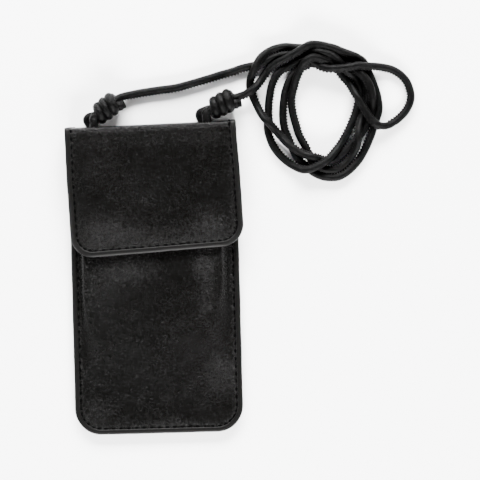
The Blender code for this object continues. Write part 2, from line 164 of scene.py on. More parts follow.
def add_world():
    """Dim overhead, so that black leather stays black, and paler towards the horizon."""
    world = bpy.data.worlds.new("studio")
    world.use_nodes = True
    tree = world.node_tree
    direction = tree.nodes.new("ShaderNodeTexCoord")
    parts = tree.nodes.new("ShaderNodeSeparateXYZ")
    fade = tree.nodes.new("ShaderNodeMapRange")
    fade.interpolation_type = "SMOOTHSTEP"
    fill(fade, From_Min=HORIZON_HEIGHT, From_Max=OVERHEAD_HEIGHT,
         To_Min=HORIZON_LIGHT, To_Max=OVERHEAD_LIGHT)
    tree.links.new(direction.outputs["Generated"], parts.inputs["Vector"])
    tree.links.new(parts.outputs["Z"], fade.inputs["Value"])
    tree.links.new(fade.outputs["Result"], tree.nodes["Background"].inputs["Strength"])
    fill(tree.nodes["Background"], Color=(1.0, 1.0, 1.0, 1.0))
    bpy.context.scene.world = world


def add_studio():
    for light in LIGHTS:
        add_light(*light)
    add_world()


# ---------------------------------------------------------------- materials
# Sockets of a Mix node set to colours
MIX_SHARE, MIX_FIRST, MIX_SECOND = 0, 6, 7
MIX_COLOUR = 2

# Leather: its tone comes from slow mottling and fine pores; a per-point attribute opens the grain
# and lightens the tone, as painted sheen in patches and as wear beside the seams
MOTTLE_SCALE = 42.0
MOTTLE_SHARE = 0.3
PORE_SHARE = 0.7
PORE_SCALE = 0.75                # against the scale of the grain
TONE_FROM = (0.44, 0.74)
TONE_TO = (0.12, 0.75)
GRAIN_BASE = 0.75
GRAIN_WEAR_AND_SHEEN = 0.55
TONE_TOP = 1.2
PORE_DEPTH = 2.0


class Shader:
    """A Principled material with a few shorthands for its node tree."""

    def __init__(self, name):
        self.material = bpy.data.materials.new(name)
        self.material.use_nodes = True
        self.tree = self.material.node_tree
        self.shader = self.tree.nodes["Principled BSDF"]
        self.place = self.node("ShaderNodeTexCoord").outputs["Object"]

    def node(self, kind, **settings):
        made = self.tree.nodes.new(kind)
        for key, value in settings.items():
            setattr(made, key, value)
        return made

    def link(self, source, target):
        self.tree.links.new(source, target)

    def texture(self, kind, output, settings, **values):
        """A texture laid over the piece's own coordinates."""
        made = self.node(kind, **settings)
        fill(made, **values)
        self.link(self.place, made.inputs["Vector"])
        return made.outputs[output]

    def noise(self, scale, detail=4.0, roughness=0.55):
        return self.texture("ShaderNodeTexNoise", "Fac", {},
                            Scale=scale, Detail=detail, Roughness=roughness)

    def cells(self, scale):
        return self.texture("ShaderNodeTexVoronoi", "Distance", {}, Scale=scale)

    def waves(self, direction, **values):
        return self.texture("ShaderNodeTexWave", "Fac", {"bands_direction": direction}, **values)

    def spread(self, source, low, high, out_low, out_high):
        made = self.node("ShaderNodeMapRange")
        fill(made, From_Min=low, From_Max=high, To_Min=out_low, To_Max=out_high)
        self.link(source, made.inputs["Value"])
        return made.outputs["Result"]

    def blend(self, share, first, second):
        made = self.node("ShaderNodeMix", data_type="RGBA")
        made.inputs[MIX_FIRST].default_value = (*first, 1.0)
        made.inputs[MIX_SECOND].default_value = (*second, 1.0)
        self.link(share, made.inputs[MIX_SHARE])
        return made.outputs[MIX_COLOUR]

    def math(self, operation, first, second):
        made = self.node("ShaderNodeMath", operation=operation)
        for socket, value in zip(made.inputs, (first, second)):
            if isinstance(value, (int, float)):
                socket.default_value = value
            else:
                self.link(value, socket)
        return made.outputs[0]

    def bump(self, height, distance):
        made = self.node("ShaderNodeBump")
        fill(made, Distance=distance, Strength=1.0)
        self.link(height, made.inputs["Height"])
        self.link(made.outputs["Normal"], self.shader.inputs["Normal"])

    def colour(self, share, first, second):
        self.link(self.blend(share, first, second), self.shader.inputs["Base Color"])

    def roughness(self, source):
        self.link(source, self.shader.inputs["Roughness"])


def leather(name, dark, light, rough, grain_depth, grain=1150.0, shine=0.06):
    """Fine-grained leather. Its per-point attribute, 0 to 1, opens the grain and lightens the tone:
    painted sheen in listed patches, and rubbed leather beside the seams.
    """
    made = Shader(name)
    wear_and_sheen = made.node("ShaderNodeAttribute", attribute_name="wear_and_sheen").outputs["Fac"]
    mottle = made.noise(MOTTLE_SCALE, 5.0, 0.6)
    pores = made.noise(grain * PORE_SCALE, 3.0, 0.65)
    tone = made.math("ADD", made.math("MULTIPLY", mottle, MOTTLE_SHARE),
                     made.math("MULTIPLY", pores, PORE_SHARE))
    # A higher attribute lightens the tone below: painted sheen in the listed patches, and wear
    # beside the seams
    open_grain = made.math("ADD", GRAIN_BASE, made.math("MULTIPLY", wear_and_sheen, GRAIN_WEAR_AND_SHEEN))
    tone = made.math("MULTIPLY", made.spread(tone, *TONE_FROM, *TONE_TO), open_grain)
    made.colour(tone, dark, light)
    made.roughness(made.spread(tone, 0.0, TONE_TOP, *rough))
    pebbles = made.math("SUBTRACT", 1.0, made.cells(grain))
    height = made.math("ADD", pebbles, made.math("MULTIPLY", pores, PORE_DEPTH))
    made.bump(made.math("MULTIPLY", height, open_grain), grain_depth)
    fill(made.shader, Specular_IOR_Level=shine)
    return made.material


def cloth(name, dark, light):
    """Plain-woven lining: two crossed sets of threads."""
    made = Shader(name)
    weave = [made.waves(axis, Scale=420.0, Distortion=0.6) for axis in ("X", "Y")]
    threads = made.math("MULTIPLY", *weave)
    made.colour(threads, dark, light)
    made.bump(threads, 0.08 * MM)
    fill(made.shader, Roughness=0.85, Specular_IOR_Level=0.1, Sheen_Weight=0.03,
         Sheen_Roughness=0.4)
    return made.material


def thread_material():
    made = Shader("waxed_thread")
    twist = made.waves("DIAGONAL", Scale=900.0)
    made.colour(twist, (0.0001, 0.0001, 0.0001), (0.0004, 0.0004, 0.0004))
    made.bump(twist, 0.06 * MM)
    fill(made.shader, Roughness=0.8, Specular_IOR_Level=0.01)
    return made.material


def metal_material():
    made = Shader("snap_nickel")
    brushed = made.noise(900.0, 4.0, 0.6)
    made.roughness(made.spread(brushed, 0.3, 0.7, 0.22, 0.38))
    made.colour(made.noise(160.0), (0.50, 0.50, 0.51), (0.66, 0.66, 0.67))
    made.bump(brushed, 0.01 * MM)
    fill(made.shader, Metallic=1.0)
    return made.material


def floor_material():
    made = Shader("studio_floor")
    made.colour(made.noise(3.0), (0.965, 0.965, 0.965), (0.985, 0.985, 0.985))
    fill(made.shader, Roughness=0.9, Specular_IOR_Level=0.1)
    return made.material


PANEL_LEATHER = leather(
    "panel_leather", dark=(0.0003, 0.0003, 0.0002), light=(0.0013, 0.0012, 0.0010),
    rough=(0.25, 0.35), grain_depth=0.26 * MM)
EDGE_LEATHER = leather(
    "edge_leather", dark=(0.0016, 0.0015, 0.0014), light=(0.0026, 0.0025, 0.0023),
    rough=(0.42, 0.48), grain_depth=0.05 * MM, grain=2600.0, shine=0.07)
CORD_LEATHER = leather(
    "cord_leather", dark=(0.0002, 0.0002, 0.0002), light=(0.0013, 0.0012, 0.0011),
    rough=(0.38, 0.48), grain_depth=0.24 * MM, grain=1300.0, shine=0.04)
LINING_CLOTH = cloth("lining_cloth", (0.0015, 0.0015, 0.0015), (0.006, 0.0058, 0.0055))
THREAD = thread_material()
METAL = metal_material()

# Painted sheen: patches coloured lighter, with the grain opened, where the leather catches the
# light: x, y, the two radii, in mm, and how much
BODY_PAINTED_SHEEN = [
    (-17, 5, 15, 9, 0.9), (-34, -8, 9, 14, 0.5), (30, 8, 7, 8, 1.0), (30, -12, 5, 12, 0.6),
    (38, -55, 8, 12, 1.0), (-35, -77, 9, 6, 0.6), (-39, -50, 4, 22, 0.3), (5, -86, 30, 4, 0.4),
]
FLAP_PAINTED_SHEEN = [
    (-30, 27, 17, 9, 1.0), (34, 29, 12, 8, 0.9), (0, 24, 30, 6, 0.5), (-36, 64, 12, 9, 0.25),
    (0, 82, 60, 5, 0.3), (-8, 50, 16, 12, 0.2),
]

# The drawn-up leather beside the seams is rubbed: how much, how far in, and how wide
SEAM_WEAR = 0.55
SEAM_WEAR_INSET = 4.2 * MM
SEAM_WEAR_WIDTH = 1.5 * MM


def rim_inset(x, y, outline):
    """Distance inwards from an outline with two round corners at its low end."""
    half_width, end, corner = outline
    to_side = half_width - abs(x)
    to_end = y - end
    if to_side < corner and to_end < corner:
        return corner - math.hypot(corner - to_side, corner - to_end)
    return min(to_side, to_end)


def paint_sheen_and_wear(piece, spots, outline):
    """Store per point the painted sheen in spots, and how rubbed it is beside the seam round the
    outline.
    """
    mesh = piece.data
    wear_and_sheen = mesh.attributes.new("wear_and_sheen", "FLOAT", "POINT")
    for point, value in zip(mesh.vertices, wear_and_sheen.data):
        x, y = point.co.x / MM, point.co.y / MM
        total = 0.0
        for spot_x, spot_y, radius_x, radius_y, amount in spots:
            away = ((x - spot_x) / radius_x) ** 2 + ((y - spot_y) / radius_y) ** 2
            total += amount * math.exp(-away)
        inset = rim_inset(point.co.x, point.co.y, outline)
        total += SEAM_WEAR * bell(inset - SEAM_WEAR_INSET, SEAM_WEAR_WIDTH)
        value.value = min(total, 1.0)


# ---------------------------------------------------------------- mesh helpers
PROBE = 0.2 * MM
BAND_WOBBLE = 0.12 * MM
WOBBLE_STEP = 0.11
WOBBLE_SEED = 3.7
BAND_REACH = 3.0 * MM

# Cross-sections of one stitch: share of its length, share of its thickness, and lift in mm
STITCH_RINGS = ((-0.5, 0.25, -0.40), (-0.42, 0.8, -0.04), (-0.25, 1.0, 0.12), (0.0, 1.05, 0.16),
                (0.25, 1.0, 0.12), (0.42, 0.8, -0.04), (0.5, 0.25, -0.40))
STITCH_SIDES = 8
STITCH_HALF_WIDTH = 0.60 * MM
STITCH_HALF_HEIGHT = 0.30 * MM


def new_piece(name, mesh, material):
    mesh.materials.clear()
    mesh.materials.append(material)
    piece = bpy.data.objects.new(name, mesh)
    bpy.context.scene.collection.objects.link(piece)
    return piece


def grid_mesh(name, columns, rows, place):
    """A sheet of quads whose points are place(column, row)."""
    points = [place(column, row) for row in rows for column in columns]
    width = len(columns)
    faces = []
    for i in range(len(rows) - 1):
        for j in range(width - 1):
            corner = i * width + j
            faces.append((corner, corner + 1, corner + width + 1, corner + width))
    mesh = bpy.data.meshes.new(name)
    mesh.from_pydata(points, [], faces)
    mesh.shade_smooth()
    return mesh


def apply_modifiers(piece):
    bpy.context.view_layer.update()
    evaluated = piece.evaluated_get(bpy.context.evaluated_depsgraph_get())
    mesh = bpy.data.meshes.new_from_object(evaluated)
    old = piece.data
    piece.modifiers.clear()
    piece.data = mesh
    bpy.data.meshes.remove(old)


def thicken(piece, thickness, side=-1.0):
    """Give an open sheet its thickness, on the side its faces turn away from or to."""
    shell = piece.modifiers.new("thickness", "SOLIDIFY")
    shell.thickness = thickness
    shell.offset = side
    shell.use_even_offset = False
    apply_modifiers(piece)


def loop_tube(name, rings):
    """A closed tube through rings of points that all have the same count."""
    size = len(rings[0])
    points = [point for ring in rings for point in ring]
    faces = []
    for i in range(len(rings) - 1):
        for j in range(size):
            k = (j + 1) % size
            faces.append((i * size + j, i * size + k, (i + 1) * size + k, (i + 1) * size + j))
    faces.append(tuple(reversed(range(size))))
    faces.append(tuple(range((len(rings) - 1) * size, len(rings) * size)))
    mesh = bpy.data.meshes.new(name)
    mesh.from_pydata(points, [], faces)
    shape = bmesh.new()
    shape.from_mesh(mesh)
    bmesh.ops.recalc_face_normals(shape, faces=shape.faces)
    shape.to_mesh(mesh)
    shape.free()
    mesh.shade_smooth()
    return mesh


def spaced(start, end, count):
    return [start + (end - start) * i / count for i in range(count + 1)]


def surface_frame(surface, a, b):
    """Point, the two directions and the normal of surface(a, b)."""
    along_a = (surface(a + PROBE, b) - surface(a - PROBE, b)) / (2 * PROBE)
    along_b = (surface(a, b + PROBE) - surface(a, b - PROBE)) / (2 * PROBE)
    return surface(a, b), along_a, along_b, along_a.cross(along_b).normalized()


def half_width_at(b, half_width, end, corner):
    """Half the width of an outline with two round corners at its low end."""
    drop = max(end + corner - b, 0.0)
    return half_width - corner + math.sqrt(max(corner * corner - drop * drop, 0.0))


def outline_path(half_width, end, corner, top, spacing):
    """(a, b, outward a, outward b) from the upper left round the low end to the right."""
    side = top - (end + corner)
    arc = corner * math.pi / 2
    total = 2 * side + 2 * arc + 2 * (half_width - corner)
    count = max(round(total / spacing), 2)
    path = []
    for i in range(count + 1):
        along = total * i / count
        mirror = 1 if along > total / 2 else -1
        along = min(along, total - along)
        if along < side:
            a, b, angle = half_width, top - along, 0.0
        elif along < side + arc:
            angle = (along - side) / corner
            a = half_width - corner + corner * math.cos(angle)
            b = end + corner - corner * math.sin(angle)
        else:
            a, b, angle = half_width - corner - (along - side - arc), end, math.pi / 2
        path.append((mirror * a, b, mirror * math.cos(angle), -math.sin(angle)))
    return path


def edge_band(name, surface, path, section):
    """A strip round the edge of a sheet. section(b) gives (inset, lift) points of its profile."""
    rings = []
    for step, (a, b, out_a, out_b) in enumerate(path):
        point, along_a, along_b, normal = surface_frame(surface, a, b)
        outward = (along_a * out_a + along_b * out_b)
        outward = (outward - normal * outward.dot(normal)).normalized()
        wobble = BAND_WOBBLE * ripple(step * WOBBLE_STEP, 0.0, 1.0, WOBBLE_SEED)
        ring = []
        for inset, lift in section(b):
            if inset > 0:
                base = surface(a - out_a * inset, b - out_b * inset)
            else:
                base = point - outward * inset
            ring.append(base + normal * lift + outward * wobble * (1 - clamp(inset / BAND_REACH)))
        rings.append(ring)
    return loop_tube(name, rings)


def stitches(name, surface, path, inset):
    """One lockstitch after another: short thick strands, sunk in the leather at both ends."""
    shape = bmesh.new()
    sides = STITCH_SIDES
    for a, b, out_a, out_b in path:
        a -= out_a * inset
        b -= out_b * inset
        point, along_a, along_b, normal = surface_frame(surface, a, b)
        run = (along_a * -out_b + along_b * out_a).normalized()
        side = normal.cross(run)
        rings = []
        for along, width, lift in STITCH_RINGS:
            centre = point + run * along * STITCH_LENGTH + normal * lift * MM
            ring = []
            for j in range(sides):
                turn = 2 * math.pi * j / sides
                reach = side * math.cos(turn) * STITCH_HALF_WIDTH * width
                reach += normal * math.sin(turn) * STITCH_HALF_HEIGHT * width
                ring.append(shape.verts.new(centre + reach))
            rings.append(ring)
        for low, high in zip(rings, rings[1:]):
            for j in range(sides):
                k = (j + 1) % sides
                shape.faces.new((low[j], low[k], high[k], high[j]))
        shape.faces.new(list(reversed(rings[0])))
        shape.faces.new(rings[-1])
    bmesh.ops.recalc_face_normals(shape, faces=shape.faces)
    mesh = bpy.data.meshes.new(name)
    shape.to_mesh(mesh)
    shape.free()
    mesh.shade_smooth()
    return new_piece(name, mesh, THREAD)


# ---------------------------------------------------------------- cord
# Route of the neck cord from the left knot to the right one: x and y in mm, and the layer,
# which is higher for the stretch that lies on top where two cross. It runs out to the coil,
# round its upper and right side, up its left side, out to the side loop, and three times more
# round the coil.
ROUTE = [
    (-17.7, 106.9, 0), (-10.6, 108.5, 0), (-3.5, 109.7, 0), (7.1, 110.9, 0), (15.3, 111.9, 0),
    (24.8, 114.2, 0), (32.5, 116.2, 0), (40.2, 118.4, 0), (47.3, 120.2, 0), (54.4, 122.4, 0),
    (61.5, 123.7, 0), (67.5, 125.6, 0), (74.0, 127.8, 0), (81.1, 129.3, 0), (88.2, 130.0, 0),
    (95.8, 130.4, 0), (103.5, 129.6, 0), (110.5, 127.4, 0), (116.8, 123.7, 0), (122.0, 118.3, 0),
    (125.3, 112.3, 0), (127.5, 105.8, 0), (127.9, 99.3, 0), (126.0, 92.9, 1), (123.2, 87.1, 2),
    # round the lower right and up the inner left side
    (121.6, 81.8, 3), (120.0, 75.7, 3), (116.6, 69.0, 2), (112.3, 64.1, 1), (107.5, 61.3, 0),
    (101.7, 61.2, 0), (97.0, 63.9, 1), (93.0, 69.0, 2), (90.0, 75.0, 2), (86.3, 81.6, 3),
    (84.4, 87.8, 3), (82.5, 95.2, 3), (81.5, 101.1, 3), (81.4, 107.6, 3), (83.6, 114.6, 4),
    (86.1, 118.6, 5), (88.5, 122.1, 5), (92.2, 125.8, 5), (97.5, 127.4, 4),
    # down across the right side to the side loop
    (103.4, 126.7, 4), (108.6, 123.9, 4), (112.6, 119.1, 4), (115.4, 114.9, 5), (118.5, 109.5, 6),
    (122.3, 102.2, 6), (124.9, 97.0, 6), (127.5, 91.9, 6), (130.3, 88.3, 5), (133.5, 86.4, 3),
    (136.7, 86.1, 1), (139.7, 86.9, 0), (144.3, 89.5, 0), (148.9, 93.9, 0), (151.7, 98.7, 0),
    (152.7, 103.2, 0), (151.9, 107.7, 0), (150.3, 111.8, 0), (146.7, 116.0, 1), (141.9, 119.0, 2),
    (136.5, 120.5, 4), (130.7, 121.1, 7), (123.9, 121.1, 7), (117.2, 121.0, 7), (110.5, 121.5, 6),
    (106.0, 122.0, 5), (101.5, 123.0, 4), (97.0, 124.7, 3), (92.8, 126.1, 3), (88.1, 125.7, 2),
    # first full turn round the coil
    (82.1, 123.1, 1), (75.8, 119.5, 1), (72.4, 115.1, 1), (70.4, 110.2, 1), (69.1, 103.9, 1),
    (68.3, 97.9, 0), (67.8, 92.0, 0), (67.6, 87.1, 0), (68.2, 82.9, 0), (70.3, 76.8, 0),
    (74.0, 71.2, 0), (79.0, 66.5, 0), (84.9, 63.2, 2), (91.1, 61.8, 3), (98.0, 63.8, 5),
    (104.8, 67.8, 5), (108.6, 72.1, 4), (112.5, 78.2, 3), (116.2, 85.1, 3), (119.5, 92.0, 2),
    (121.9, 98.3, 2), (123.7, 104.7, 2), (123.6, 111.2, 2), (120.8, 117.1, 2), (116.2, 121.9, 2),
    (110.4, 125.6, 2), (103.4, 127.9, 2), (96.4, 129.5, 2), (91.1, 130.8, 2),
    # outermost on the left, then low across to the right side
    (85.9, 132.0, 2), (80.6, 133.5, 2), (75.3, 133.3, 2), (70.6, 131.8, 2), (66.1, 128.6, 2),
    (62.4, 123.7, 2), (59.6, 118.4, 1), (58.3, 113.5, 1), (58.9, 108.2, 1), (60.7, 103.1, 2),
    (64.0, 96.0, 3), (68.0, 90.3, 3), (72.7, 84.7, 3), (77.1, 79.6, 4), (81.4, 75.2, 4),
    (86.0, 71.6, 4), (91.9, 68.6, 4), (97.7, 67.0, 3), (103.0, 66.7, 2),
    (106.5, 67.8, 2), (111.1, 70.9, 1), (115.5, 74.3, 1), (119.2, 78.0, 1), (122.8, 83.5, 1),
    (125.9, 89.9, 1), (127.9, 96.9, 1), (128.4, 104.0, 1), (127.1, 111.1, 1), (123.7, 117.6, 1),
    (118.6, 122.5, 1), (112.2, 125.9, 1), (105.2, 127.5, 1), (98.7, 127.4, 2), (92.8, 125.5, 2),
    # down the left side, round the bottom and up the outer right side
    (87.7, 121.5, 2), (83.7, 116.0, 1), (80.9, 109.3, 1), (78.7, 103.5, 1), (77.3, 97.1, 1),
    (77.0, 91.2, 1), (77.6, 85.9, 1), (79.2, 80.3, 1), (81.7, 74.0, 1), (85.1, 67.5, 1),
    (88.8, 63.0, 0), (93.4, 59.6, 0), (98.7, 57.3, 0), (104.1, 56.4, 0), (109.5, 57.0, 0),
    (115.3, 60.4, 0), (120.8, 66.0, 0), (124.3, 71.4, 0), (127.4, 77.5, 0), (129.9, 83.4, 0),
    (131.8, 89.7, 0), (132.6, 95.9, 0), (132.2, 101.6, 0), (131.1, 107.4, 1), (129.1, 112.8, 2),
    (126.4, 117.9, 4), (122.7, 122.7, 5),
    # over the top and back to the right knot
    (118.1, 126.2, 5), (112.8, 128.9, 5), (107.3, 131.3, 5), (101.7, 132.4, 5), (94.2, 132.4, 5),
    (88.9, 131.1, 5), (84.0, 129.4, 5), (79.0, 127.6, 5), (74.5, 125.9, 5), (70.3, 122.6, 5),
    (66.8, 118.2, 5), (63.7, 113.8, 5), (60.3, 110.0, 5), (56.4, 107.3, 4), (52.2, 105.6, 3),
]

# Each knot: its centre and direction in plan, where its loop enters the end wall, its outer
# radius, and the plan of the loop's two strands between the knot and the wall. All in mm.
KNOTS = {
    "left": {"centre": (-26.3, 100.3), "angle": 35.6, "hole_x": -34.6, "radius": 7.0,
             "bow": [(-34.3, 95.6), (-35.8, 94.2), (-35.2, 92.4)]},
    "right": {"centre": (41.5, 101.1), "angle": 26.0, "hole_x": 31.5, "radius": 7.1,
              "bow": [(32.4, 97.2), (30.5, 96.3), (30.4, 94.0)]},
}
KNOT_Z = 7.2 * MM
WRAPS = 3
WRAP_PITCH = 5.1 * MM
WRAP_STEPS = 14                  # points in each turn
WRAP_START = math.radians(100.0)
WRAP_TAPER = 0.16                # how much narrower the knot is next to the wall
WRAP_RADIUS = 2.95 * MM          # the cord is pressed flat in the wraps
STRAND_RADIUS = 2.6 * MM
WRAP_FADE = 1.5 * MM
NOOSE_SEAM = 0.28 * MM
BOW_SPREAD = 1.9 * MM
FACE_GAP = 0.6 * MM              # from the wraps to where the loop leaves them

# The cut tail: points beyond the knot's far face, across the knot and upwards, in mm
TAIL = ((-0.8, -3.4, 0.1), (1.0, -3.9, -0.4), (2.4, -4.2, -0.8))

# Holes in the end wall, one above the other and a little to either side
HOLE_SHIFT = 1.1 * MM
HOLE_HEIGHTS = (9.9 * MM, 3.9 * MM)
HOLE_RADIUS = 2.55 * MM
HOLE_DEPTH = 7.0 * MM
LOOP_DEPTH = 5.0 * MM

# How the free cord settles on the table
COIL_CENTRE = Vector((95.5 * MM, 94.5 * MM, 0.0))
KNOT_GRIP = 6.0 * MM             # how far from a knot's centre the free cord starts
LEVEL = 0.05 * MM                # stands for one layer in a route's third column
LEVEL_RISE = 3.2 * MM
SETTLE_STEP = 2.2 * MM
SETTLE_ROUNDS = 300
CONTACT_PASSES = 3
SINK = 0.06 * MM
SMOOTHING = 0.5
PULL_TO_PLAN = 0.03
NEIGHBOURS = 3.0                 # points nearer along the cord than this many diameters don't touch
CONTACT_RANGE = 2.2              # in diameters
CONTACT_SQUEEZE = 0.99
CONTACT_WEIGHT = 0.35

# The cord's surface: a toothed seam standing out, and a groove on each side of it
RING_STEP = 0.4 * MM
CORD_SEAM = 0.9 * MM
SEAM_RISE = math.radians(12.0)
SEAM_STEADINESS = 6.0
SEAM_ANGLE = 0.20
TOOTH_PITCH = 1.9 * MM
TOOTH_FOOT = 0.05
TOOTH_SHARPNESS = 0.8
GROOVE_ANGLE = 0.50
SEAM_GROOVE = 0.30 * MM
CORD_UNEVENNESS = 0.035
CORD_WAVES = 90.0
CORD_SEED = 7.1
RING_ANGLES = [math.radians(a) for a in (0, 8, 16, 27, 42, 65, 95, 125, 155,
                                         205, 235, 265, 295, 318, 333, 344, 352)]


def smooth_route(points, spacing):
    """Evenly spaced points on a smooth curve through the given points, as an array."""
    given = np.array(points, float)
    given = np.vstack([2 * given[0] - given[1], given, 2 * given[-1] - given[-2]])
    share = np.linspace(0.0, 1.0, 16, endpoint=False)[:, None]
    fine = []
    for i in range(len(given) - 3):
        before, start, end, after = given[i:i + 4]
        fine.append(0.5 * (
            2 * start + (end - before) * share
            + (2 * before - 5 * start + 4 * end - after) * share ** 2
            + (3 * start - before - 3 * end + after) * share ** 3))
    fine = np.vstack(fine + [given[-2:-1]])
    lengths = np.concatenate([[0.0], np.cumsum(np.linalg.norm(np.diff(fine, axis=0), axis=1))])
    count = max(round(lengths[-1] / spacing), 2)
    wanted = np.linspace(0.0, lengths[-1], count + 1)
    return np.stack([np.interp(wanted, lengths, fine[:, k]) for k in range(fine.shape[1])], axis=1)


def settle(route, ends):
    """Lay a cord on the table: it sinks, and its strands rest on or beside each other."""
    target, order = route[:, :2], route[:, 2] / LEVEL
    count = len(route)
    diameter = 2 * CORD_RADIUS
    laid = np.column_stack([target, CORD_RADIUS + order * LEVEL_RISE])
    first, second = np.triu_indices(count, int(NEIGHBOURS * diameter / SETTLE_STEP))
    apart = np.linalg.norm(target[first] - target[second], axis=1)
    close = apart < CONTACT_RANGE * diameter
    first, second = first[close], second[close]
    for _ in range(SETTLE_ROUNDS):
        laid[:, 2] -= SINK
        off = laid[:, :2] - target
        laid[1:-1, :2] += (SMOOTHING * ((off[:-2] + off[2:]) / 2 - off[1:-1])
                           - PULL_TO_PLAN * off[1:-1])
        laid[1:-1, 2] += SMOOTHING * ((laid[:-2, 2] + laid[2:, 2]) / 2 - laid[1:-1, 2])
        for _ in range(CONTACT_PASSES):
            gap = laid[first] - laid[second]
            distance = np.linalg.norm(gap, axis=1)
            short = np.maximum(diameter * CONTACT_SQUEEZE - distance, 0.0)
            touching = short > 0
            push = gap[touching] * (0.5 * short / np.maximum(distance, 1e-6))[touching, None]
            move = np.zeros_like(laid)
            contacts = np.ones(count)
            np.add.at(move, first[touching], push)
            np.add.at(move, second[touching], -push)
            np.add.at(contacts, first[touching], CONTACT_WEIGHT)
            np.add.at(contacts, second[touching], CONTACT_WEIGHT)
            laid += move / contacts[:, None]
            laid[:, 2] = np.maximum(laid[:, 2], CORD_RADIUS)
        laid[0], laid[-1] = ends
    return laid


def tube_rings(path, radii, seam_towards, seam=CORD_SEAM):
    """Rings of a stitched round cord. Its toothed seam turns to seam_towards(point, tangent)."""
    rings = []
    travelled = 0.0
    last_side = None
    for i, point in enumerate(path):
        before = path[max(i - 1, 0)]
        after = path[min(i + 1, len(path) - 1)]
        tangent = (after - before).normalized()
        towards = seam_towards(point, tangent)
        side = towards - tangent * towards.dot(tangent)
        if last_side is not None:
            kept = last_side - tangent * last_side.dot(tangent)
            side = kept.normalized() * SEAM_STEADINESS + side.normalized()
        side.normalize()
        last_side = side
        other = tangent.cross(side)
        if i:
            travelled += (point - before).length
        wave = 0.5 + 0.5 * math.cos(2 * math.pi * travelled / TOOTH_PITCH)
        tooth = TOOTH_FOOT + (1.0 - TOOTH_FOOT) * wave ** TOOTH_SHARPNESS
        uneven = 1.0 + CORD_UNEVENNESS * ripple(travelled * CORD_WAVES, 0.0, 1.0, CORD_SEED)
        ring = []
        for angle in RING_ANGLES:
            swing = (angle + math.pi) % (2 * math.pi) - math.pi
            reach = radii[i] * uneven
            reach += seam * tooth * bell(swing, SEAM_ANGLE)
            reach -= SEAM_GROOVE * bell(abs(swing) - GROOVE_ANGLE, SEAM_ANGLE)
            ring.append(point + side * math.cos(angle) * reach + other * math.sin(angle) * reach)
        rings.append(ring)
    return rings


def towards_coil(point, tangent):
    """The seam turns to the inner side of the coil, and a little up."""
    flat = COIL_CENTRE - point
    flat.z = 0.0
    flat -= tangent * flat.dot(tangent)
    flat.z = 0.0
    if flat.length < 1e-6:
        flat = Vector((0.0, -1.0, 0.0))
    return flat.normalized() * math.cos(SEAM_RISE) + Vector((0.0, 0.0, math.sin(SEAM_RISE)))


def knot_axes(knot):
    """Centre of a knot, its axis away from the pouch, and the direction across it."""
    angle = math.radians(knot["angle"])
    along = Vector((math.cos(angle), math.sin(angle), 0.0))
    centre = Vector((knot["centre"][0] * MM, knot["centre"][1] * MM, KNOT_Z))
    return centre, along, Vector((-along.y, along.x, 0.0))


def make_neck_cord():
    left, left_along, left_side = knot_axes(KNOTS["left"])
    right, right_along, right_side = knot_axes(KNOTS["right"])
    start = left + left_along * KNOT_GRIP + left_side * 0.6 * MM
    finish = right + right_along * KNOT_GRIP + right_side * 0.6 * MM
    points = [(start.x / MM, start.y / MM, 0)] + ROUTE + [(finish.x / MM, finish.y / MM, 3)]
    plan = smooth_route([(x * MM, y * MM, level * LEVEL) for x, y, level in points], SETTLE_STEP)
    laid = settle(plan, (np.array(start), np.array(finish)))
    fine = smooth_route(laid, RING_STEP)
    path = [Vector(point) for point in fine]
    rings = tube_rings(path, [CORD_RADIUS] * len(path), towards_coil)
    piece = new_piece("neck_cord", loop_tube("neck_cord", rings), CORD_LEATHER)
    return piece, path


